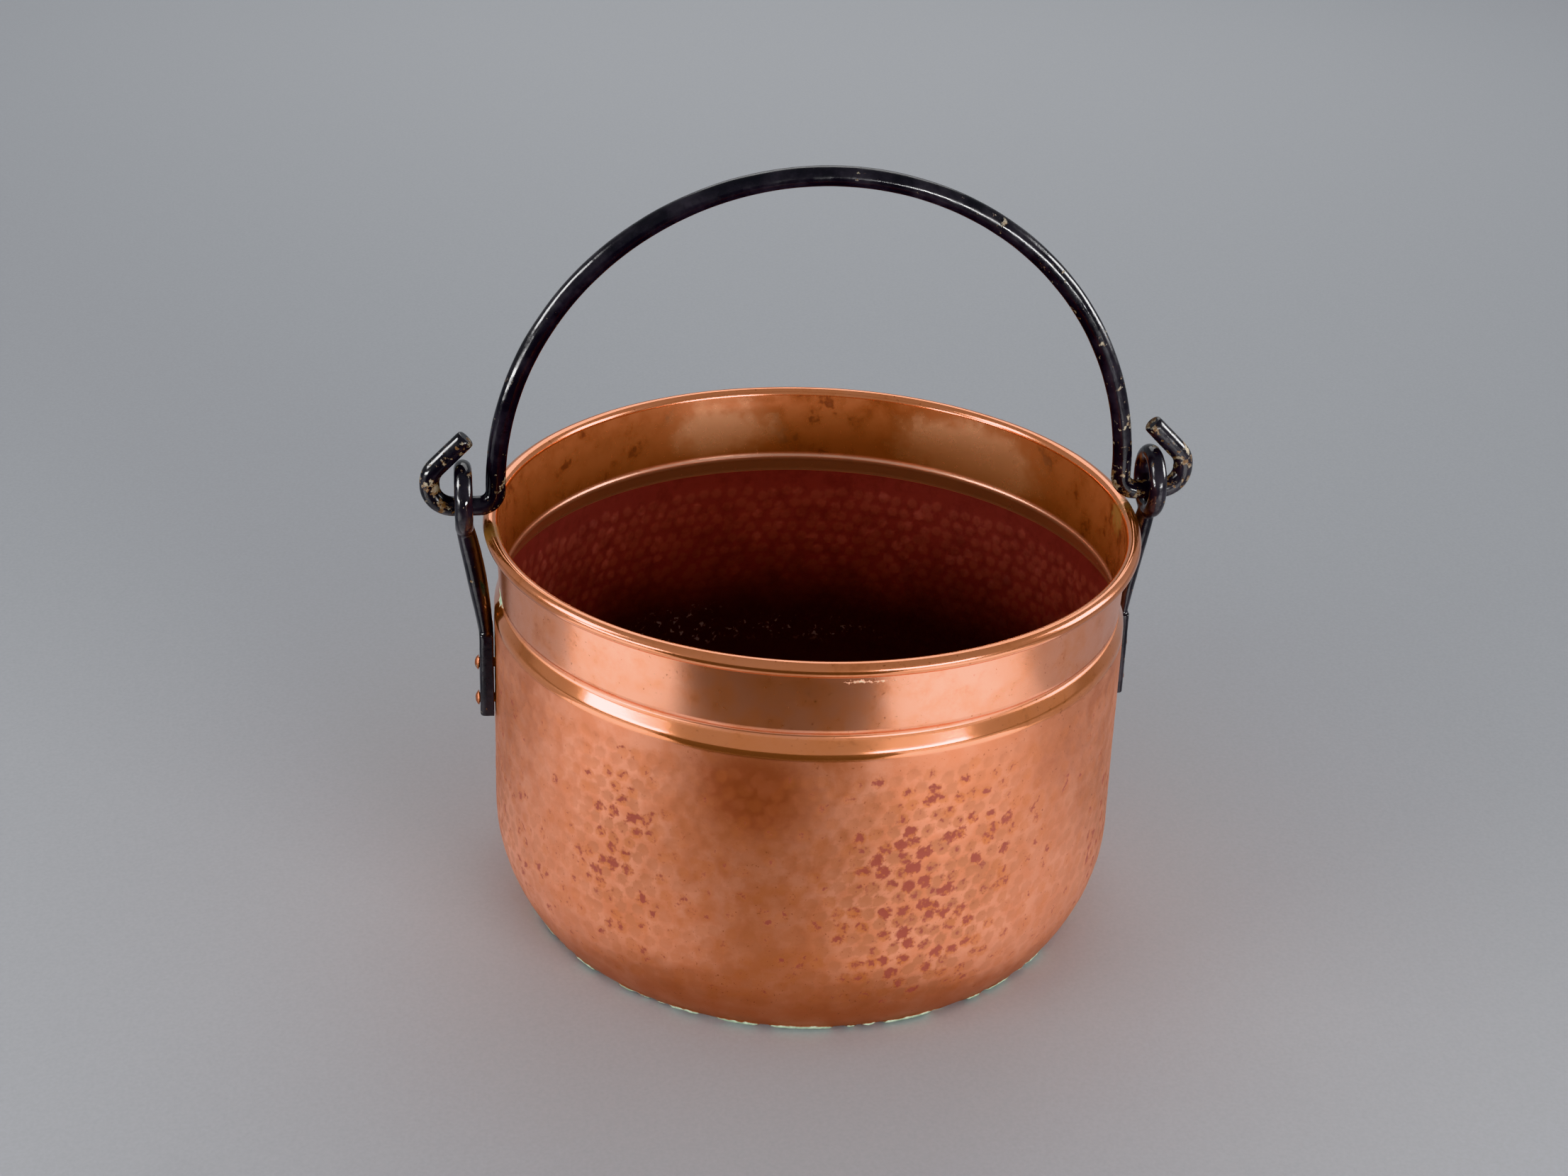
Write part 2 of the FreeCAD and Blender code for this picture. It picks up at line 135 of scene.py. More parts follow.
def pot_profile():
    """The sheet's outline as (radius, height, region), from under the base round to the floor inside.

    The last figure of each section is how far apart its points lie, in millimetres.
    """
    small = (FLAT_RADIUS, CORNER_SMALL)
    tangent = turned(small, CORNER_SMALL, CORNER_TURN - 90)
    lean = math.radians(CORNER_TURN)
    large = (tangent[0] - CORNER_LARGE * math.sin(lean), tangent[1] + CORNER_LARGE * math.cos(lean))
    shoulder = (WALL_TOP[0] - SHOULDER_BEND, WALL_TOP[1])
    groove = arc_centre(SHOULDER_TOP, NECK_FOOT, GROOVE_BEND, -1)
    slope = math.radians(SHOULDER_TURN)
    neck_in = (NECK_FOOT[0] - GAUGE, NECK_FOOT[1])
    ridge_foot = (SHOULDER_TOP[0] - GAUGE * math.cos(slope), SHOULDER_TOP[1] - GAUGE * math.sin(slope))
    ridge = arc_centre(neck_in, ridge_foot, RIDGE_BEND, 1)
    wall_in = (large[0] + CORNER_LARGE - GAUGE, large[1])
    sections = [
        ("under", straight((FIRST_RING, 0), (FLAT_RADIUS, 0), 7)),
        ("corner", bend(small, CORNER_SMALL, -90, CORNER_TURN - 90, 0.7)),
        ("corner", bend(large, CORNER_LARGE, CORNER_TURN - 90, 0, 1.4)),
        ("wall", straight((large[0] + CORNER_LARGE, large[1]), WALL_TOP, 1.4)),
        ("shoulder", bend(shoulder, SHOULDER_BEND, 0, SHOULDER_TURN, 0.5)),
        ("shoulder", straight(turned(shoulder, SHOULDER_BEND, SHOULDER_TURN), SHOULDER_TOP, 0.7)),
        ("groove", bend(groove, GROOVE_BEND, angle_at(groove, SHOULDER_TOP) % 360,
                        angle_at(groove, NECK_FOOT) % 360, 0.35)),
        ("neck", straight(NECK_FOOT, (CURL_CENTRE[0] - CURL_INNER, CURL_CENTRE[1]), 1.4)),
        ("roll", bend(CURL_CENTRE, CURL_INNER, 180, CURL_END, 0.6)),
        ("roll", straight(turned(CURL_CENTRE, CURL_INNER, CURL_END),
                          turned(CURL_CENTRE, CURL_OUTER, CURL_END), 0.6)),
        ("bead", bend(CURL_CENTRE, CURL_OUTER, CURL_END, 180, 0.45)),
        ("neck_in", straight((CURL_CENTRE[0] - CURL_OUTER, CURL_CENTRE[1]), neck_in, 1.4)),
        ("ridge_in", bend(ridge, RIDGE_BEND, angle_at(ridge, neck_in) % 360,
                          angle_at(ridge, ridge_foot) % 360, 0.4)),
        ("ridge_in", straight(ridge_foot, turned(shoulder, SHOULDER_BEND - GAUGE, SHOULDER_TURN), 0.7)),
        ("ridge_in", bend(shoulder, SHOULDER_BEND - GAUGE, SHOULDER_TURN, 0, 0.5)),
        ("wall_in", straight((WALL_TOP[0] - GAUGE, WALL_TOP[1]), wall_in, 1.4)),
        ("wall_in", bend(large, CORNER_LARGE - GAUGE, 0, CORNER_TURN - 90, 1.4)),
        ("floor_in", bend(small, CORNER_SMALL - GAUGE, CORNER_TURN - 90, -90, 0.8)),
        ("floor_in", straight((FLAT_RADIUS, GAUGE), (FIRST_RING, GAUGE), 3)),
    ]
    return [(point[0], point[1], region) for region, points in sections for point in points]


def mark_centres(outline):
    """Middles of the hammer marks outside, as (x, y, z) in millimetres, with a depth and a tone for each."""
    draw = np.random.default_rng(SEED)
    path = np.array([(r, z) for r, z, region in outline if region in ("corner", "wall")])
    path = path[(path[:, 1] > MARKS_LOW) & (path[:, 1] < MARKS_HIGH)]
    along = np.concatenate([[0], np.cumsum(np.linalg.norm(np.diff(path, axis=0), axis=1))])
    row_gap = MARK_PITCH * math.sqrt(3) / 2
    centres = []
    for row in range(int(along[-1] / row_gap) + 1):
        radius = np.interp(row * row_gap, along, path[:, 0])
        count = round(2 * math.pi * radius / MARK_PITCH)
        for column in range(count):
            slip, rise = draw.normal(0, MARK_JITTER, 2)
            place = np.clip(row * row_gap + rise, 0, along[-1])
            radius, height = (np.interp(place, along, path[:, k]) for k in (0, 1))
            angle = 2 * math.pi * (column + 0.5 * (row % 2)) / count + slip / radius
            centres.append((radius * math.cos(angle), radius * math.sin(angle), height))
    centres = np.array(centres)
    return centres, draw.random(len(centres)), draw.random(len(centres))


def wave(angle, height, turns, lengths, seed):
    """A gentle unevenness round the pot, from 0 to 1: a few waves with whole numbers of turns."""
    draw = np.random.default_rng(seed)
    total = np.zeros_like(angle)
    for _ in range(WAVES):
        turn = draw.integers(turns[0], turns[1] + 1)
        length = draw.uniform(*lengths)
        total += np.cos(turn * angle + 2 * math.pi * height / length + draw.uniform(0, 2 * math.pi))
    return np.clip(0.5 + total / (WAVES * 1.1), 0, 1)


def smooth(low, high, x):
    """0 below low, 1 above high, and a smooth step between."""
    t = np.clip((x - low) / (high - low), 0, 1)
    return t * t * (3 - 2 * t)


# Spots of wear on the pot. Each is its azimuth in degrees from the front towards +X, its height in mm,
# its half width in degrees, its half height in mm, and its strength.

# hammer marks that hold dark patina
PATINA = [(13, 64, 16, 44, 1.0), (-41, 72, 9, 40, 0.6), (70, 50, 22, 36, 0.5), (150, 70, 40, 40, 0.7),
          (-130, 60, 34, 44, 0.8), (-80, 40, 20, 30, 0.4)]
PATINA_LEAST = 0.16
# brown clouds on the wall
CLOUD = [(-17, 104, 10, 19, 0.9), (40, 100, 12, 16, 0.35), (120, 90, 30, 26, 0.6),
         (-110, 100, 20, 20, 0.6), (170, 40, 40, 20, 0.6)]
# painted highlights on the neck's inside, drawn as brighter, cleaner-looking copper patches
NECK_HIGHLIGHT_SPOTS = [(-169, 140, 11, 13, 0.9), (137, 138, 15, 13, 1.4), (60, 140, 10, 12, 0.3)]
# brown stains where the bail's cranks rub the rim, and one under the left ear's shank
RIM_STAIN = [(-84, 152, 5, 9, 1.0), (88, 152, 5, 9, 0.8), (-97, 130, 4, 8, 0.5)]
# verdigris under the rim's front, and on the neck and shoulder beside the ears
RIM_GREEN = [(2, 148.6, 8, 0.8, 0.5), (-82, 147, 2, 2.4, 0.8), (84, 147, 2, 2.4, 0.7),
             (-86, 128, 3, 3, 0.9), (86, 128, 3, 3, 0.8)]
# pale specks low on the inside wall
SCUM = [(-160, 50, 14, 12, 1.0), (168, 46, 20, 8, 0.7), (20, 44, 30, 8, 0.6), (100, 40, 30, 8, 0.6)]


def spots(places, azimuth, height, least=0.0):
    """How strong a list of spots is, from 0 to 1, at each azimuth and height."""
    total = np.full_like(azimuth, least)
    for middle, level, wide, tall, strength in places:
        turn = (azimuth - middle + 180) % 360 - 180
        total += strength * np.exp(-((turn / wide) ** 2) - ((height - level) / tall) ** 2)
    return np.clip(total, 0, 1)


# how rough the copper is in each region before the finish adds to it
ROUGHNESS = {"under": 0.6, "corner": 0.44, "wall": 0.46, "shoulder": 0.12, "groove": 0.3, "neck": 0.26,
             "roll": 0.3, "bead": 0.15, "neck_in": 0.27, "ridge_in": 0.26, "wall_in": 0.42, "floor_in": 0.5}
# regions of the sheet: those that face inwards, take hammer marks, are smooth, or are a little uneven
INSIDE = ("neck_in", "ridge_in", "wall_in", "floor_in")
HAMMERED = ("corner", "wall", "wall_in")
POLISHED = ("neck", "neck_in", "bead", "shoulder", "groove", "ridge_in")
UNEVEN = ("wall", "corner", "shoulder", "groove", "neck", "neck_in", "ridge_in", "wall_in")


def new_mesh_object(name, vertices, faces):
    """An object of a new smooth mesh; vertices in metres."""
    mesh = bpy.data.meshes.new(name)
    mesh.from_pydata([tuple(v) for v in vertices], [], faces)
    mesh.validate()
    mesh.shade_smooth()
    piece = bpy.data.objects.new(name, mesh)
    bpy.context.scene.collection.objects.link(piece)
    return piece


def store(mesh, name, values):
    """Keep one number for each vertex, for the material to read."""
    layer = mesh.attributes.new(name, "FLOAT", "POINT")
    layer.data.foreach_set("value", np.asarray(values, np.float32))


def grid_faces(rows, columns):
    """Quads between neighbouring rows of a grid that closes on itself round its columns."""
    faces = []
    for row in range(rows - 1):
        for column in range(columns):
            after = (column + 1) % columns
            faces.append((row * columns + column, row * columns + after,
                          (row + 1) * columns + after, (row + 1) * columns + column))
    return faces


class Sheet:
    """The pot's outline turned into rings of points, before any wear; one entry for each mesh vertex."""

    def __init__(self, outline):
        regions = [region for _, _, region in outline]
        path = np.array([(r, z) for r, z, _ in outline])
        ahead = np.roll(path, -1, axis=0) - np.roll(path, 1, axis=0)
        ahead[0], ahead[-1] = (1, 0), (-1, 0)
        ahead /= np.linalg.norm(ahead, axis=1)[:, None]
        outward = np.stack([ahead[:, 1], -ahead[:, 0]], axis=1)
        inside = np.array([region in INSIDE for region in regions])
        away = np.where(inside[:, None], -outward, outward)

        self.rows = len(path)
        row = np.repeat(np.arange(self.rows), AROUND)
        self.angle = np.tile(np.arange(AROUND) * 2 * math.pi / AROUND, self.rows)
        self.azimuth = np.degrees(self.angle) + 90
        self.radius, self.height = path[row, 0], path[row, 1]
        self.region = np.array(regions)[row]
        self.roughness = np.array([ROUGHNESS[region] for region in regions])[row]
        self.inside = inside[row].astype(float)
        self.facing = outward[row, 0]  # how far the face looks away from the axis
        self.away = away[row]  # from the pot's inside to its outside, through the sheet

    def around(self, radius, height):
        """Points at each vertex's angle, as (x, y, z)."""
        return np.stack([radius * np.cos(self.angle), radius * np.sin(self.angle), height], axis=1)

    def shifted(self, shift):
        """Every point moved through the sheet by its own distance, but not below the table."""
        radius = self.radius + shift * self.away[:, 0]
        height = np.maximum(self.height + shift * self.away[:, 1], 0)
        return self.around(radius, height)

    def outside_face(self):
        """The point of the outside face that lies behind each point of the inside, or the point itself."""
        back = self.inside * GAUGE
        return self.around(self.radius + back * self.away[:, 0], self.height + back * self.away[:, 1])


def nearest_marks(sheet, outline):
    """For each vertex, the distance and height above its nearest mark, and that mark's tone and depth."""
    centres, depths, tones = mark_centres(outline)
    tree = kdtree.KDTree(len(centres))
    for index, centre in enumerate(centres):
        tree.insert(centre, index)
    tree.balance()
    skin = sheet.outside_face()
    hammered = np.isin(sheet.region, HAMMERED) & (sheet.height > MARKS_FROM)
    reach = np.full(len(skin), MARK_PITCH)
    lean = np.zeros(len(skin))
    tone = np.zeros(len(skin))
    depth = np.zeros(len(skin))
    for vertex in np.flatnonzero(hammered):
        centre, index, distance = tree.find(skin[vertex])
        reach[vertex] = distance
        lean[vertex] = skin[vertex][2] - centre[2]
        tone[vertex] = tones[index]
        depth[vertex] = 0.55 + 0.45 * depths[index]
    return reach, lean, tone, depth


def unevenness(sheet):
    """How far the sheet is pushed in by its gentle waves, fading out at the base; the bead has its own."""
    broad = wave(sheet.angle, sheet.height, (2, 9), (60, 200), SEED + 1)
    fine = wave(sheet.angle, sheet.height, (14, 40), (15, 60), SEED + 2)
    total = UNEVEN_BROAD * broad + UNEVEN_FINE * fine
    total *= np.isin(sheet.region, UNEVEN)
    total *= smooth(2, 14, sheet.height) * (1 - smooth(148, 153, sheet.height))
    bead = UNEVEN_BEAD * wave(sheet.angle, sheet.height, (5, 24), (200, 400), SEED + 3)
    return total + bead * (sheet.region == "bead") * (sheet.facing > -0.2)


def base_crust(sheet):
    """How much verdigris sits where the base turns up, from 0 to 1."""
    near = (sheet.region == "corner") & (sheet.height < CRUST_TOP)
    points = sheet.around(sheet.radius, sheet.height)[near]
    lumps = np.array([noise.noise(Vector(p) / CRUST_LUMPS, noise_basis="PERLIN_ORIGINAL") for p in points])
    crust = np.zeros(len(near))
    crust[near] = smooth(-0.12, 0.2, lumps)
    return crust * smooth(0.2, 0.8, sheet.height) * (1 - smooth(2.4, 3.9, sheet.height))


def close_ends(vertices, faces, rows):
    """Add the middles of the base's underside and of the floor inside, with fans of triangles round them."""
    for row, height in ((0, 0), (rows - 1, GAUGE * MM)):
        middle = len(vertices)
        vertices.append(np.array((0, 0, height)))
        for column in range(AROUND):
            here = row * AROUND + column
            after = row * AROUND + (column + 1) % AROUND
            faces.append((middle, after, here) if row == 0 else (middle, here, after))


def make_pot():
    """The copper sheet: lathed outline, hammer marks, uneven neck and rim, crust under the base edge."""
    outline = pot_profile()
    sheet = Sheet(outline)
    azimuth, height = sheet.azimuth, sheet.height
    reach, lean, tone, depth = nearest_marks(sheet, outline)
    bowl = np.clip(1 - (reach / MARK_RADIUS) ** 2, 0, 1)
    fade = smooth(*FADE_IN, height) * (1 - smooth(*FADE_OUT, height))
    pressed = MARK_DEPTH * depth * bowl * fade
    crust = base_crust(sheet)
    shift = -(pressed + unevenness(sheet)) + CRUST_THICK * crust
    crust += spots(RIM_GREEN, azimuth, height) * (sheet.inside == 0)

    vertices = list(sheet.shifted(shift) * MM)
    faces = grid_faces(sheet.rows, AROUND)
    close_ends(vertices, faces, sheet.rows)
    pot = new_mesh_object("pot_sheet", vertices, faces)
    columns = {
        "mark": np.clip(1 - reach / MARK_RADIUS, 0, 1) * fade,
        "mark_tone": tone,
        "mark_lean": np.clip(lean / MARK_RADIUS, -1, 1),
        "patina": spots(PATINA, azimuth, height, PATINA_LEAST) * fade,
        "cloud": spots(CLOUD, azimuth, height),
        "scum": spots(SCUM, azimuth, height) * sheet.inside,
        "neck_highlight": spots(NECK_HIGHLIGHT_SPOTS, azimuth, height) * sheet.inside,
        "rim_stain": spots(RIM_STAIN, azimuth, height),
        "ridge": (sheet.region == "ridge_in").astype(float),
        "inside": sheet.inside,
        "crust": crust,
        "roughness": sheet.roughness,
        "height_mm": height,
        "smooth_band": np.isin(sheet.region, POLISHED).astype(float),
        "floor_dark": (sheet.region == "floor_in").astype(float),
    }
    # the two middles come last: under the base, and on the floor inside
    middles = {"inside": (0, 1), "roughness": (ROUGHNESS["under"], ROUGHNESS["floor_in"]),
               "height_mm": (0, GAUGE), "floor_dark": (0, 1)}
    for name, values in columns.items():
        store(pot.data, name, np.concatenate([values, middles.get(name, (0, 0))]))
    return pot


# --- node trees ---------------------------------------------------------------------------------------


class Finish:
    """A material's node tree, with short calls for the nodes that these finishes use."""

    def __init__(self, name):
        self.material = bpy.data.materials.new(name)
        self.material.use_nodes = True
        self.tree = self.material.node_tree
        self.tree.nodes.clear()
        output = self.tree.nodes.new("ShaderNodeOutputMaterial")
        self.shader = self.tree.nodes.new("ShaderNodeBsdfPrincipled")
        self.tree.links.new(self.shader.outputs[0], output.inputs["Surface"])
        self.place = self.tree.nodes.new("ShaderNodeTexCoord").outputs["Object"]

    def put(self, socket, value):
        """Set a socket to a number or colour, or link it to another node's output."""
        if isinstance(value, bpy.types.NodeSocket):
            self.tree.links.new(value, socket)
        elif isinstance(value, tuple):
            socket.default_value = (*value, 1)
        else:
            socket.default_value = value

    def stored(self, name):
        """A number kept for each vertex."""
        node = self.tree.nodes.new("ShaderNodeAttribute")
        node.attribute_name = name
        return node.outputs["Fac"]

    def grain(self, size_mm, detail=4, rough=0.55, seed=0, distort=0.0):
        """Noise from 0 to 1 whose features are about size_mm across."""
        node = self.tree.nodes.new("ShaderNodeTexNoise")
        node.noise_dimensions = "4D"
        self.put(node.inputs["Vector"], self.place)
        self.put(node.inputs["W"], float(seed))
        self.put(node.inputs["Scale"], 1 / (size_mm * MM))
        self.put(node.inputs["Detail"], detail)
        self.put(node.inputs["Roughness"], rough)
        self.put(node.inputs["Distortion"], distort)
        return node.outputs["Fac"]

    def sum(self, a, b, kind="ADD", clamp=False):
        """Two values added, or combined by another kind of sum; clamp keeps the result from 0 to 1."""
        node = self.tree.nodes.new("ShaderNodeMath")
        node.operation = kind
        node.use_clamp = clamp
        self.put(node.inputs[0], a)
        self.put(node.inputs[1], b)
        return node.outputs[0]

    def times(self, a, b):
        """Two values multiplied."""
        return self.sum(a, b, "MULTIPLY")

    def step(self, value, low, high, start=0.0, end=1.0):
        """A smooth step of a value from start at low to end at high."""
        node = self.tree.nodes.new("ShaderNodeMapRange")
        node.interpolation_type = "SMOOTHSTEP"
        for name, number in (("Value", value), ("From Min", low), ("From Max", high),
                             ("To Min", start), ("To Max", end)):
            self.put(node.inputs[name], number)
        return node.outputs["Result"]

    def blend(self, share, a, b):
        """A colour or number between a and b."""
        node = self.tree.nodes.new("ShaderNodeMix")
        node.data_type = "RGBA"
        self.put(node.inputs[0], share)
        self.put(node.inputs[6], a)
        self.put(node.inputs[7], b)
        return node.outputs[2]

    def lift(self, height, depth_mm, below=None):
        """Bump of a height from 0 to 1 that stands for so many millimetres."""
        node = self.tree.nodes.new("ShaderNodeBump")
        self.put(node.inputs["Strength"], 1.0)
        self.put(node.inputs["Distance"], depth_mm * MM)
        self.put(node.inputs["Height"], height)
        if below is not None:
            self.tree.links.new(below, node.inputs["Normal"])
        return node.outputs["Normal"]

    def finish(self, **sockets):
        """Fill the shader's sockets by name, with _ for a space."""
        for name, value in sockets.items():
            self.put(self.shader.inputs[name.replace("_", " ")], value)
        return self.material


# --- finishes: colours as linear red, green and blue; a pair is blended by a noise --------------------
SATIN = ((0.57, 0.215, 0.12), (0.62, 0.27, 0.17))
SATIN_WARM = (0.50, 0.185, 0.095)
CLOUD_BROWN = (0.36, 0.105, 0.055)
POLISHED_COPPER = ((0.87, 0.40, 0.26), (0.85, 0.35, 0.20))
POLISHED_WARM = (0.72, 0.28, 0.15)
SHOULDER_ORANGE = (0.88, 0.33, 0.15)
RIM_COPPER = (0.72, 0.28, 0.14)
STAIN_BROWN = (0.50, 0.19, 0.10)
MARK_DULL = ((0.42, 0.17, 0.095), (0.47, 0.165, 0.065))
MARK_PURPLE = (0.27, 0.066, 0.06)
DOT_BROWN = (0.24, 0.075, 0.045)
BASE_BROWN = (0.34, 0.135, 0.08)
NECK_STAINED = ((0.72, 0.28, 0.14), (0.44, 0.145, 0.065))
NECK_DARK = (0.20, 0.065, 0.045)
# painted highlight on the neck's inside, and painted sheen on the ridge behind the groove
NECK_HIGHLIGHT_COPPER = (1.0, 0.51, 0.29)
RIDGE_PAINTED_SHEEN = (1.0, 0.58, 0.42)
INNER_WALL = ((0.64, 0.21, 0.19), (0.85, 0.34, 0.27))
INNER_DULL = (0.36, 0.115, 0.105)
# painted shade: the near black of the deep inside wall and of the floor inside
INNER_PAINTED_SHADE = (0.03, 0.016, 0.016)
FLOOR_PAINTED_SHADE = (0.020, 0.012, 0.012)
FLECK_PALE = (0.50, 0.48, 0.46)
RUBBED_BROWN = (0.34, 0.19, 0.07)
VERDIGRIS = ((0.34, 0.47, 0.33), (0.60, 0.72, 0.54))


class CopperMaps:
    """The stored figures and noises that the parts of the copper finish share."""

    def __init__(self, f):
        self.inside = f.stored("inside")
        self.height = f.stored("height_mm")
        self.mark = f.stored("mark")
        self.tone = f.stored("mark_tone")
        self.polish = f.step(f.stored("smooth_band"), 0.4, 0.6)
        self.satin = f.step(f.stored("smooth_band"), 0.4, 0.6, 1.0, 0.25)
        self.broad = f.grain(38, 3, 0.5, 1)
        self.mottle = f.grain(9, 5, 0.6, 2)
        self.speckle = f.grain(2.2, 4, 0.6, 3)
        # mottle and speckle about zero, to make the edge of a stain ragged
        self.mottled = f.sum(self.mottle, 0.5, "SUBTRACT")
        self.speckled = f.sum(self.speckle, 0.5, "SUBTRACT")


def satin_colour(f, m):
    """The hammered wall: satin copper with warmer areas and brown clouds."""
    colour = f.blend(f.step(m.mottle, 0.36, 0.66), *SATIN)
    colour = f.blend(f.step(m.broad, 0.42, 0.7, 0, 0.55), colour, SATIN_WARM)
    cloud = f.step(f.sum(f.stored("cloud"), f.times(m.mottled, 1.4)), 0.15, 0.75)
    return f.blend(f.times(cloud, 0.75), colour, CLOUD_BROWN)


def polished_colour(f, m):
    """The shoulder, neck and bead: brighter copper, more orange on the shoulder, with faint stains."""
    colour = f.blend(f.step(m.mottle, 0.4, 0.65), *POLISHED_COPPER)
    colour = f.blend(f.step(m.broad, 0.5, 0.68, 0, 0.45), colour, POLISHED_WARM)
    colour = f.blend(f.step(m.height, 127.5, 125.5, 0, 0.75), colour, SHOULDER_ORANGE)
    colour = f.blend(f.step(m.height, 149.5, 151.5, 0, 0.7), colour, RIM_COPPER)
    stained = f.step(f.sum(f.times(m.mottle, 0.6), f.times(m.speckle, 0.4)), 0.54, 0.66, 0, 0.35)
    return f.blend(stained, colour, STAIN_BROWN)


def marked_colour(f, m, copper):
    """The outside with its marks: duller than the ridges between them, some with ragged purple-brown patina
    patches that lean to each mark's upper side as painted shade.

    Returns the colour and how strong the dull discs and the patches are.
    """
    patina = f.stored("patina")
    disc = f.step(f.sum(m.mark, f.times(m.speckled, 0.9)), 0.06, 0.40)
    disc_colour = f.blend(f.step(m.tone, 0.3, 0.8), *MARK_DULL)
    colour = f.blend(f.times(disc, f.step(patina, 0.1, 1.0, 0.2, 0.85)), copper, disc_colour)
    age = f.sum(f.times(f.sum(f.times(patina, 0.9), f.times(m.tone, 0.95)), 0.9), 1.34, "SUBTRACT")
    # partly painted shade: the patina patches grow towards each mark's upper side, whose slope faces down
    lean = f.times(f.stored("mark_lean"), 0.15)
    shade = f.sum(f.sum(f.times(m.mark, 0.55), lean), f.times(m.speckled, 3.0))
    patch = f.times(f.step(f.sum(shade, age), 0.0, 0.42), f.step(m.mark, 0.02, 0.22))
    colour = f.blend(f.times(patch, 0.8), colour, MARK_PURPLE)
    dots = f.times(f.step(f.grain(1.1, 2, 0.5, 4), 0.66, 0.73), f.step(m.broad, 0.35, 0.6, 0.1, 0.65))
    colour = f.blend(dots, colour, DOT_BROWN)
    base_edge = f.step(f.sum(m.height, f.times(m.mottle, 9.0)), 5, 13, 1, 0)
    return f.blend(f.times(base_edge, 0.4), colour, BASE_BROWN), disc, patch


def neck_inside_colour(f, m):
    """The neck's inside: stained, with a few patches of painted highlight, over a ridge behind the groove
    painted pale as a sheen.
    """
    stain = f.step(f.sum(f.times(m.mottle, 0.7), f.times(m.broad, 0.5)), 0.5, 0.8)
    colour = f.blend(stain, *NECK_STAINED)
    colour = f.blend(f.times(f.step(m.mottle, 0.58, 0.66), 0.7), colour, NECK_DARK)
    # painted highlight: bright copper patches on the neck's inside
    neck_highlight = f.step(f.sum(f.stored("neck_highlight"), f.times(m.mottled, 1.3)), 0.15, 0.7)
    colour = f.blend(f.times(neck_highlight, 0.95), colour, NECK_HIGHLIGHT_COPPER)
    # painted sheen: the ridge behind the groove is painted pale where it catches the light
    return f.blend(f.times(f.stored("ridge"), 0.85), colour, RIDGE_PAINTED_SHEEN)


def inner_colour(f, m):
    """The inside: a red-brown wall with paler bumps, blackened downwards by painted shade, and a floor
    painted near black as shade, with pale flecks.

    Returns the colour and how far painted shade blackens the wall.
    """
    floor = f.stored("floor_dark")
    bump = f.step(f.sum(m.mark, f.times(m.speckled, 0.4)), 0.1, 0.5)
    wall = f.blend(f.times(bump, 0.45), *INNER_WALL)
    wall = f.blend(f.step(m.mottle, 0.42, 0.7, 0, 0.6), wall, INNER_DULL)
    # painted shade: the inside wall blackens towards the bottom of the pot
    inside_painted_shade = f.step(f.sum(m.height, f.times(m.broad, 30.0)), 68, 124, 0.97, 0.0)
    wall = f.blend(inside_painted_shade, wall, INNER_PAINTED_SHADE)
    colour = f.blend(m.polish, wall, neck_inside_colour(f, m))
    # painted shade: the floor inside is painted near black
    colour = f.blend(floor, colour, FLOOR_PAINTED_SHADE)
    scum = f.sum(f.stored("scum"), f.times(floor, 0.8))
    flecks = f.times(f.step(f.grain(2.4, 4, 0.6, 7, 0.6), 0.585, 0.64), f.step(scum, 0.25, 0.7))
    return f.blend(f.times(flecks, 0.9), colour, FLECK_PALE), inside_painted_shade


def hammered_copper():
    """Worn copper: satin hammered wall, smoother neck, purple-brown patina in the marks with some painted
    shade on their upper sides, and a red-brown inside blackened deep down by painted shade.
    """
    f = Finish("hammered_copper_patina")
    m = CopperMaps(f)
    copper = f.blend(m.polish, satin_colour(f, m), polished_colour(f, m))
    outside, disc, patch = marked_colour(f, m, copper)
    within, inside_painted_shade = inner_colour(f, m)
    colour = f.blend(m.inside, outside, within)

    rubbed = f.step(f.sum(f.stored("rim_stain"), f.times(m.speckled, 1.2)), 0.3, 0.75)
    colour = f.blend(f.times(rubbed, 0.8), colour, RUBBED_BROWN)
    crust = f.stored("crust")
    verdigris = f.step(f.sum(crust, f.times(m.speckled, 1.1)), 0.25, 0.5)
    verdigris = f.times(verdigris, f.step(crust, 0.03, 0.15))
    colour = f.blend(verdigris, colour, f.blend(f.step(m.speckle, 0.4, 0.65), *VERDIGRIS))

    # patches, stains and verdigris are rougher than the copper, and behave less like metal
    dull = f.sum(f.times(patch, 0.12), f.times(disc, 0.05))
    dull = f.sum(dull, f.times(f.times(m.mottled, 0.22), m.satin))
    dull = f.sum(f.sum(dull, f.times(verdigris, 0.5)), f.times(rubbed, 0.2))
    roughness = f.sum(f.stored("roughness"), dull, clamp=True)
    oxide = f.sum(f.sum(f.times(patch, 0.3), f.times(m.inside, 0.45)), f.sum(0.08, f.times(rubbed, 0.4)))
    wall_inside = f.sum(m.inside, m.polish, "SUBTRACT", clamp=True)
    # where painted shade blackens the inside wall, it is also made less like metal
    oxide = f.sum(oxide, f.times(f.times(inside_painted_shade, wall_inside), 0.5))
    metallic = f.sum(1.0, f.sum(oxide, verdigris), "SUBTRACT", clamp=True)
    surface = f.lift(f.times(f.grain(1.6, 4, 0.6, 5), m.satin), 0.035)
    surface = f.lift(f.times(f.grain(0.5, 2, 0.5, 6), m.satin), 0.012, surface)
    surface = f.lift(verdigris, 0.2, surface)
    return f.finish(Base_Color=colour, Roughness=roughness, Metallic=metallic, Normal=surface)


RIVET_COPPER = ((0.50, 0.20, 0.11), (0.22, 0.085, 0.05))
RIVET_GREEN = (0.30, 0.40, 0.31)
RUST = ((0.16, 0.085, 0.040), (0.36, 0.31, 0.23))
PAINT = ((0.011, 0.010, 0.012), (0.050, 0.045, 0.052))  # clean and dusty
WIRE = ((0.17, 0.15, 0.14), (0.19, 0.10, 0.06))


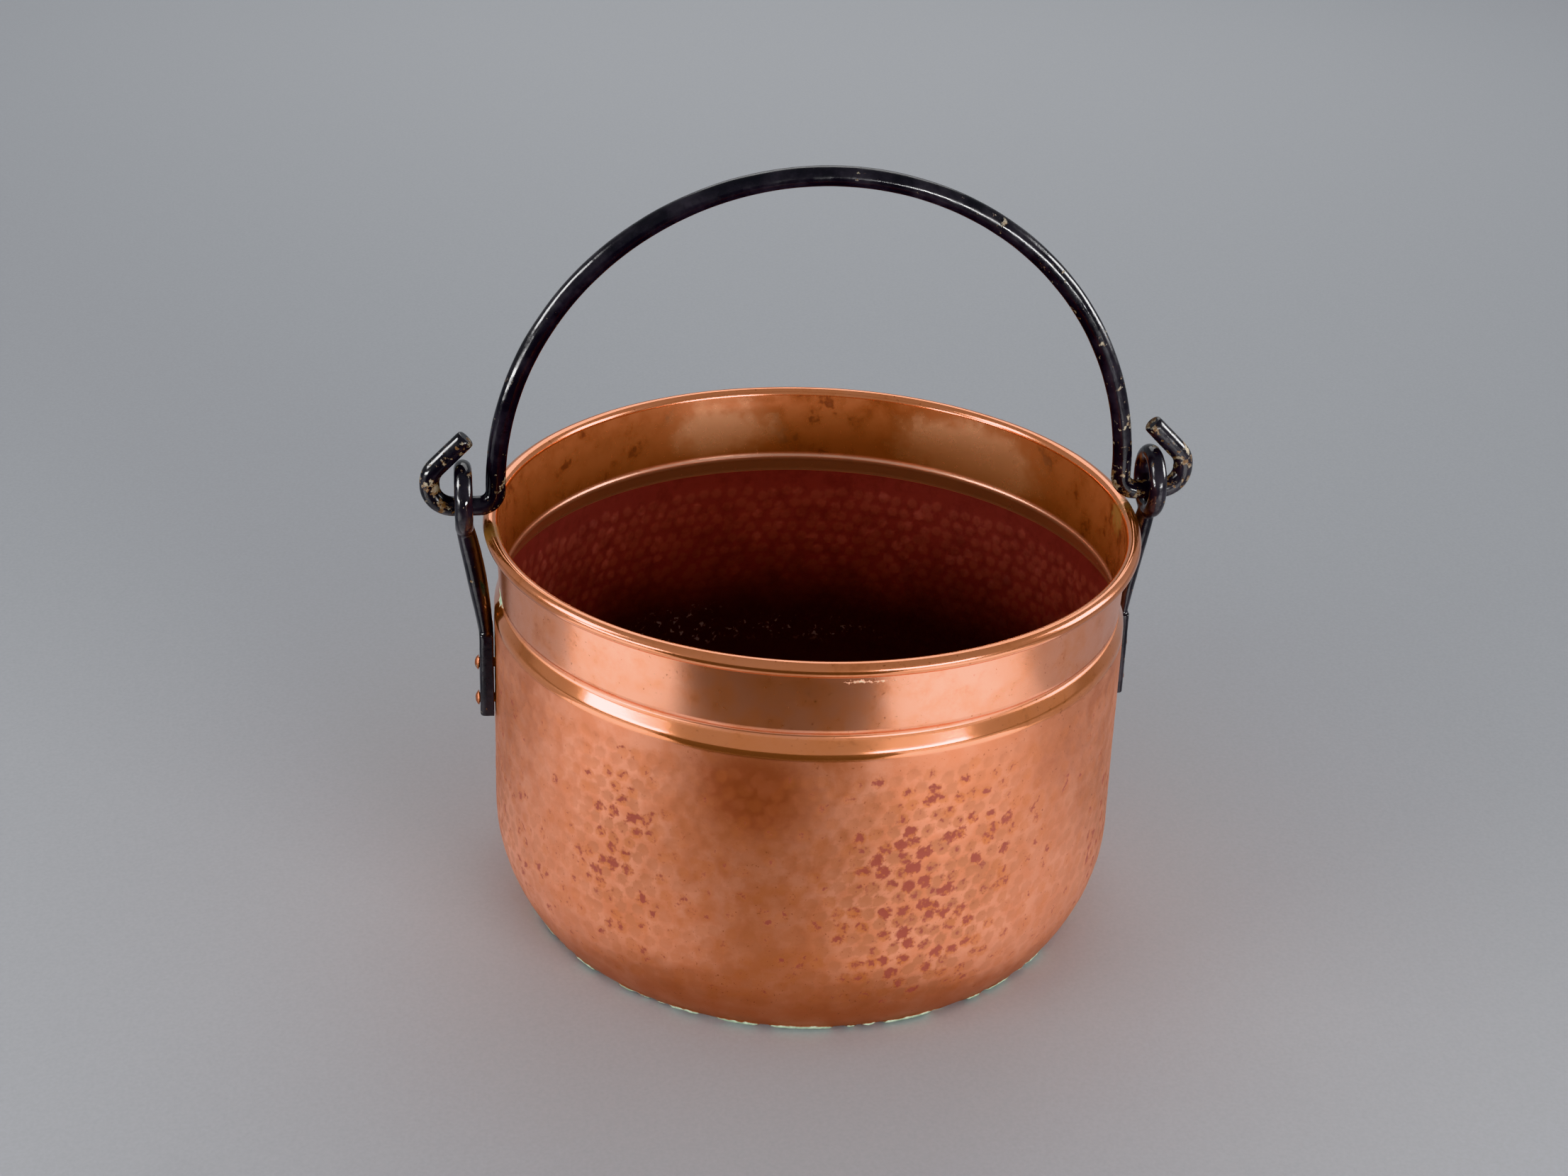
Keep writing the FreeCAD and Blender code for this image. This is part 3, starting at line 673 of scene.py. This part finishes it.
def rivet_copper():
    """Dull hammered rivet heads with a little green."""
    f = Finish("rivet_copper_dull")
    mottle = f.grain(2.5, 5, 0.6, 11)
    colour = f.blend(f.step(mottle, 0.35, 0.7), *RIVET_COPPER)
    colour = f.blend(f.step(f.grain(3, 4, 0.6, 12), 0.62, 0.72), colour, RIVET_GREEN)
    return f.finish(Base_Color=colour, Roughness=f.step(mottle, 0.3, 0.7, 0.3, 0.55), Metallic=1.0,
                    Normal=f.lift(f.grain(1.2, 4, 0.6, 13), 0.05))


def black_paint(name, bare):
    """Glossy black paint over forged iron, chipped to rust and grey metal; bare is how much wear chips it."""
    f = Finish(name)
    chip = f.sum(f.times(f.grain(6, 6, 0.62, 21), 0.7), f.times(f.grain(1.7, 4, 0.6, 22), 0.4))
    chip = f.step(f.sum(chip, f.times(f.stored("wear"), bare)), 0.715, 0.745)
    rust = f.blend(f.step(f.grain(2.2, 4, 0.6, 23), 0.42, 0.60), *RUST)
    paint = f.blend(f.step(f.grain(18, 5, 0.65, 24), 0.42, 0.68, 0, 0.8), *PAINT)
    colour = f.blend(chip, paint, rust)
    roughness = f.sum(f.step(f.grain(5, 4, 0.6, 25), 0.3, 0.7, 0.10, 0.27), f.times(chip, 0.4))
    surface = f.lift(f.grain(4.0, 4, 0.5, 26), 0.11)
    surface = f.lift(f.sum(1.0, chip, "SUBTRACT"), 0.10, surface)
    return f.finish(Base_Color=colour, Roughness=roughness, Metallic=f.times(chip, 0.35), Normal=surface)


def bare_iron():
    """The plain wire inside the rolled rim."""
    f = Finish("bare_iron_wire_dull")
    scale = f.grain(3, 5, 0.6, 31)
    colour = f.blend(f.step(scale, 0.4, 0.65), *WIRE)
    return f.finish(Base_Color=colour, Roughness=f.step(scale, 0.3, 0.7, 0.45, 0.7), Metallic=0.8,
                    Normal=f.lift(scale, 0.04))


# --- ironwork, in millimetres -------------------------------------------------------------------------

ARCH_RADIUS = 115
CRANK_BEND = 6
HOOK_BEND = 8.4
HOOK_RISE = 1  # straight bit between the hook's two bends
HOOK_TURN = 45  # degrees that the hook bends back past upright
TAIL_LENGTH = 15.6
BAR_SIDES = 40
BAR_DENT = 0.16
BAR_DENTS_ALONG = 0.09  # dents for each millimetre of the bar
BAR_DENTS_ROUND = 1.6  # radius of the circle that stands for once round the bar
# rings at each tip: their share of the bar's radius, and how far in from the tip they lie
TIP_RINGS = [(0.0, 0.0), (0.6, 0.0), (0.86, 0.0), (0.97, 0.45)]
TIP_LENGTH = 1.2


def bail_path():
    """The bail's right half from the top of the arch to the hook's tip, as (x, z), and the bar's radius."""
    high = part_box("bail_handle")[1] / MM
    pivot = frame["joints"][0]["pos_m"][2] / MM
    bar = high.z - pivot - CRANK_BEND - ARCH_RADIUS
    out = high.x - bar - HOOK_BEND
    foot = ARCH_RADIUS + CRANK_BEND
    hook = (out, pivot + HOOK_BEND)
    hook_top = (out, pivot + HOOK_BEND + HOOK_RISE)
    path = bend((0, pivot + CRANK_BEND), ARCH_RADIUS, 90, 0, 1.2)
    path += bend((foot, pivot + CRANK_BEND), CRANK_BEND, 180, 270, 0.8)
    path += straight((foot, pivot), (out, pivot), 1)
    path += bend(hook, HOOK_BEND, -90, 0, 0.9)
    path += bend(hook_top, HOOK_BEND, 0, HOOK_TURN, 0.9)
    tail = turned(hook_top, HOOK_BEND, HOOK_TURN)
    tip = turned(tail, TAIL_LENGTH, HOOK_TURN + 90)
    path += straight(tail, tip, 1)
    path.append(tip)
    return np.array(path), bar


def bail_rings():
    """The swept bar's rings, as (middle, direction, share of the bar's radius, place along it)."""
    half, bar = bail_path()
    path = np.concatenate([half[::-1] * (-1, 1), half[1:]])
    ahead = np.gradient(path, axis=0)
    ahead /= np.linalg.norm(ahead, axis=1)[:, None]
    length = np.concatenate([[0], np.cumsum(np.linalg.norm(np.diff(path, axis=0), axis=1))])
    rings = [(path[0] + ahead[0] * back, ahead[0], share, 0.0) for share, back in TIP_RINGS]
    for place, direction, run in zip(path[1:-1], ahead[1:-1], length[1:-1]):
        if TIP_LENGTH < run < length[-1] - TIP_LENGTH:
            rings.append((place, direction, 1.0, run))
    rings += [(path[-1] - ahead[-1] * back, ahead[-1], share, length[-1])
              for share, back in reversed(TIP_RINGS)]
    return rings, bar


def make_bail():
    """The bail: one slightly uneven round bar, with both tips cut off and worn round."""
    rings, bar = bail_rings()
    vertices = []
    for place, direction, share, run in rings:
        aside = np.array((direction[1], -direction[0]))
        for side in range(BAR_SIDES):
            turn = 2 * math.pi * side / BAR_SIDES
            spot = Vector((run * BAR_DENTS_ALONG,
                           BAR_DENTS_ROUND * math.cos(turn),
                           BAR_DENTS_ROUND * math.sin(turn)))
            dent = 0.5 + 0.5 * noise.noise(spot, noise_basis="PERLIN_ORIGINAL")
            radius = share * (bar - BAR_DENT * dent)
            point = place + aside * radius * math.cos(turn)
            vertices.append((point[0] * MM, radius * math.sin(turn) * MM, point[1] * MM))
    bail = new_mesh_object("bail_bar", vertices, grid_faces(len(rings), BAR_SIDES))
    merge_close(bail.data, 0.01 * MM)
    store_wear(bail.data, bail_wear)
    return bail


def bail_wear(x, z):
    """How worn the bail's paint is: most on its hooks and legs, and more on the right."""
    legs = 1 - smooth(165, 235, z)
    hooks = smooth(116, 128, np.abs(x))
    right = smooth(10, 90, x)
    return np.clip(0.25 + 0.35 * legs + 0.3 * hooks + 0.35 * right, 0, 1)


def store_wear(mesh, rule):
    """Keep a wear figure for each vertex, from its x and z in millimetres."""
    place = np.zeros(len(mesh.vertices) * 3)
    mesh.vertices.foreach_get("co", place)
    place = place.reshape(-1, 3) / MM
    store(mesh, "wear", rule(place[:, 0], place[:, 2]))


def merge_close(mesh, distance):
    """Join vertices that lie closer than a distance in metres, and turn the faces outwards."""
    work = bmesh.new()
    work.from_mesh(mesh)
    bmesh.ops.remove_doubles(work, verts=work.verts, dist=distance)
    bmesh.ops.recalc_face_normals(work, faces=work.faces)
    work.to_mesh(mesh)
    work.free()
    mesh.shade_smooth()


# the forged pieces: how fine their new skin is, how often it is softened, and the size and depth of the
# coarse and the fine dents in it
EAR_VOXEL = 0.5
EAR_PASSES = 4
EAR_DENTS = ((11, 0.25), (3, 0.07))
RIVET_VOXEL = 0.22
RIVET_PASSES = 2
RIVET_DENTS = ((2.4, 0.22), (0.9, 0.05))


def forged(node, name, voxel_mm, passes, dents, seed):
    """A copy of a CAD node's shape, with its edges softened in some passes and its faces dented."""
    piece = bpy.data.objects.new(name, frame["nodes"][node].data.copy())
    bpy.context.scene.collection.objects.link(piece)
    skin = piece.modifiers.new("skin", "REMESH")
    skin.mode = "VOXEL"
    skin.voxel_size = voxel_mm * MM
    soften = piece.modifiers.new("soften", "SMOOTH")
    soften.factor = 0.5
    soften.iterations = passes
    bpy.context.view_layer.update()
    depsgraph = bpy.context.evaluated_depsgraph_get()
    mesh = bpy.data.meshes.new_from_object(piece.evaluated_get(depsgraph))
    piece.modifiers.clear()
    piece.data = mesh
    mesh.materials.clear()
    mesh.shade_smooth()
    count = len(mesh.vertices)
    place = np.zeros(count * 3)
    facing = np.zeros(count * 3)
    mesh.vertices.foreach_get("co", place)
    mesh.vertices.foreach_get("normal", facing)
    place, facing = place.reshape(-1, 3), facing.reshape(-1, 3)
    offset = Vector((seed * 7.3, seed * 3.1, 0))
    dent = np.zeros(count)
    for size, depth in dents:
        dent += [depth * (0.5 + 0.5 * noise.noise(Vector(p) / (size * MM) + offset,
                                                  noise_basis="PERLIN_ORIGINAL")) for p in place]
    mesh.vertices.foreach_set("co", (place - facing * dent[:, None] * MM).ravel())
    mesh.update()
    return piece


def ear_wear(_x, z):
    """How worn an ear's paint is: most on the eye and at the strap's foot."""
    eye = smooth(150, 170, z)
    foot = 1 - smooth(84, 96, z)
    return np.clip(0.2 + 0.5 * eye + 0.35 * foot, 0, 1)


def dress(piece, material, body, slot, *nodes):
    """Give a piece its material and body, and hide the CAD nodes that it stands for; slot is not used."""
    piece.data.materials.clear()
    piece.data.materials.append(material)
    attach(piece, body)
    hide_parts(*nodes)


def build_object():
    """Every visible piece of the cauldron."""
    dress(make_pot(), hammered_copper(), "pot", "hammered_copper", "pot_body")
    dress(make_bail(), black_paint("bail_paint", 0.15), "bail", "black_iron", "bail_handle")
    ear_paint = black_paint("ear_paint", 0.12)
    copper = rivet_copper()
    for seed, side in enumerate(("right", "left")):
        ear = forged("ear_" + side, "ear_%s_forging" % side, EAR_VOXEL, EAR_PASSES, EAR_DENTS, seed)
        store_wear(ear.data, ear_wear)
        dress(ear, ear_paint, "pot", "black_iron", "ear_" + side)
        for step, level in enumerate(("upper", "lower")):
            node = "rivet_%s_%s" % (side, level)
            rivet = forged(node, node + "_head", RIVET_VOXEL, RIVET_PASSES, RIVET_DENTS,
                           4 + 2 * seed + step)
            dress(rivet, copper, "pot", "copper_rivet", node)
    wire = frame["nodes"]["rim_wire"]
    wire.data.materials.clear()
    wire.data.materials.append(bare_iron())


# --- stage --------------------------------------------------------------------------------------------

CAMERA_AT = (-0.1236, -0.7759, 0.5224)  # metres
CAMERA_HEADING = 0.146  # from +Y towards +X, radians
CAMERA_PITCH = 0.470
CAMERA_ROLL = -0.036
CAMERA_LENS = 54.3  # millimetres, on a sensor 36 wide
CAMERA_SIDE = 0.158  # how far the camera stands round the pot from its front, towards -X, radians


def make_camera():
    """The camera: in front of the pot and above its rim, a little to the left."""
    heading, pitch, roll = CAMERA_HEADING, CAMERA_PITCH, CAMERA_ROLL
    forward = Vector((math.sin(heading) * math.cos(pitch),
                      math.cos(heading) * math.cos(pitch),
                      -math.sin(pitch)))
    right = Vector((math.cos(heading), -math.sin(heading), 0))
    down = forward.cross(right)
    right_rolled = right * math.cos(roll) + down * math.sin(roll)
    down_rolled = down * math.cos(roll) - right * math.sin(roll)
    data = bpy.data.cameras.new("camera")
    data.sensor_width = 36
    data.lens = CAMERA_LENS
    data.clip_start = 0.01
    camera = bpy.data.objects.new("camera", data)
    bpy.context.scene.collection.objects.link(camera)
    turn = Matrix((right_rolled, -down_rolled, -forward)).transposed()
    camera.matrix_world = Matrix.Translation(CAMERA_AT) @ turn.to_4x4()
    bpy.context.scene.camera = camera


FLOOR_RADIUS = 6.0  # metres
FLOOR_LEVEL = -0.0001
FLOOR_RINGS = 24
FLOOR_SIDES = 96
FLOOR_GREY = ((0.42, 0.43, 0.45), (0.49, 0.50, 0.525))


def make_floor():
    """A plain pale floor under the pot."""
    vertices = []
    for ring in range(1, FLOOR_RINGS + 1):
        radius = FLOOR_RADIUS * (ring / FLOOR_RINGS) ** 2
        for side in range(FLOOR_SIDES):
            turn = 2 * math.pi * side / FLOOR_SIDES
            vertices.append((radius * math.cos(turn), radius * math.sin(turn), FLOOR_LEVEL))
    faces = grid_faces(FLOOR_RINGS, FLOOR_SIDES)
    faces.append(tuple(range(FLOOR_SIDES)))
    floor = new_mesh_object("floor", vertices, faces)
    f = Finish("floor_pale")
    tone = f.blend(f.grain(1.4, 2, 0.5, 41), *FLOOR_GREY)
    floor.data.materials.append(f.finish(Base_Color=tone, Roughness=0.9))


def area_light(name, azimuth, distance, height, size, power, aim=(0, 0, 0.1), on_floor=True):
    """A soft rectangular light: degrees from the camera's side of the pot towards +X, metres and watts.

    on_floor is False for a light that only shows as a reflection in the metal and the paint.
    """
    data = bpy.data.lights.new(name, "AREA")
    data.shape = "RECTANGLE"
    data.size, data.size_y = size
    data.energy = power
    light = bpy.data.objects.new(name, data)
    bpy.context.scene.collection.objects.link(light)
    turn = math.radians(azimuth) - CAMERA_SIDE
    light.location = (distance * math.sin(turn), -distance * math.cos(turn), height)
    light.rotation_euler = (Vector(aim) - light.location).to_track_quat("-Z", "Y").to_euler()
    light.visible_camera = False
    light.visible_diffuse = on_floor
    return light


ROOM_RADII = (0.27, 1.6)  # metres
ROOM_AZIMUTHS = (-47, -20, 5, 29)  # degrees, as for the lights
ROOM_LEVEL = 0.001
ROOM_BLACK = (0.03, 0.03, 0.03)


def dark_room():
    """The unlit room in front of the pot: a dark sheet that only shows as a reflection."""
    vertices = []
    for radius in ROOM_RADII:
        for azimuth in ROOM_AZIMUTHS:
            turn = math.radians(azimuth) - CAMERA_SIDE
            vertices.append((radius * math.sin(turn), -radius * math.cos(turn), ROOM_LEVEL))
    across = len(ROOM_AZIMUTHS)
    faces = [(i, i + 1, i + 1 + across, i + across) for i in range(across - 1)]
    room = new_mesh_object("dark_room", vertices, faces)
    f = Finish("dark_room")
    room.data.materials.append(f.finish(Base_Color=ROOM_BLACK, Roughness=1.0))
    room.visible_camera = False
    room.visible_diffuse = False
    room.visible_shadow = False


# light cards lying on the floor: name, azimuth, distance, width, depth and watts
FLOOR_CARDS = [
    ("card_left", -58, 0.40, 0.22, 0.22, 0.24),
    ("card_left_near", -58, 0.205, 0.22, 0.17, 0.06),
    ("card_right", 47, 0.40, 0.26, 0.22, 0.31),
    ("card_right_near", 50, 0.205, 0.27, 0.17, 0.09),
    ("card_front_near", -8, 0.185, 0.20, 0.12, 0.012),
]
CARD_HEIGHT = 0.002
SKY_COLOUR = (0.94, 0.97, 1.0, 1)
SKY_STRENGTH = 0.45


def make_lights():
    """Two low windows in front, two lamps high at the sides, light cards on the floor and a soft top."""
    area_light("window_left", -60, 1.1, 0.24, (0.56, 0.10), 5.2)
    area_light("window_right", 38, 1.1, 0.23, (0.56, 0.12), 7.6)
    area_light("lamp_left", -81, 0.8, 0.58, (0.32, 0.32), 5.5, on_floor=False)
    area_light("lamp_right", 99, 0.8, 0.42, (0.32, 0.32), 5.0, on_floor=False)
    for name, azimuth, distance, width, depth, power in FLOOR_CARDS:
        card = area_light(name, azimuth, distance, CARD_HEIGHT, (width, depth), power)
        card.rotation_euler = (math.pi, 0, math.radians(azimuth) - CAMERA_SIDE)
    area_light("top", 180, 1.5, 1.3, (1.6, 1.0), 9.0, (0, 0.8, 0))
    world = bpy.data.worlds.new("room")
    bpy.context.scene.world = world
    world.use_nodes = True
    background = world.node_tree.nodes["Background"]
    background.inputs["Color"].default_value = SKY_COLOUR
    background.inputs["Strength"].default_value = SKY_STRENGTH
    bpy.context.scene.view_settings.view_transform = "Khronos PBR Neutral"


build_object()
make_camera()
make_floor()
dark_room()
make_lights()
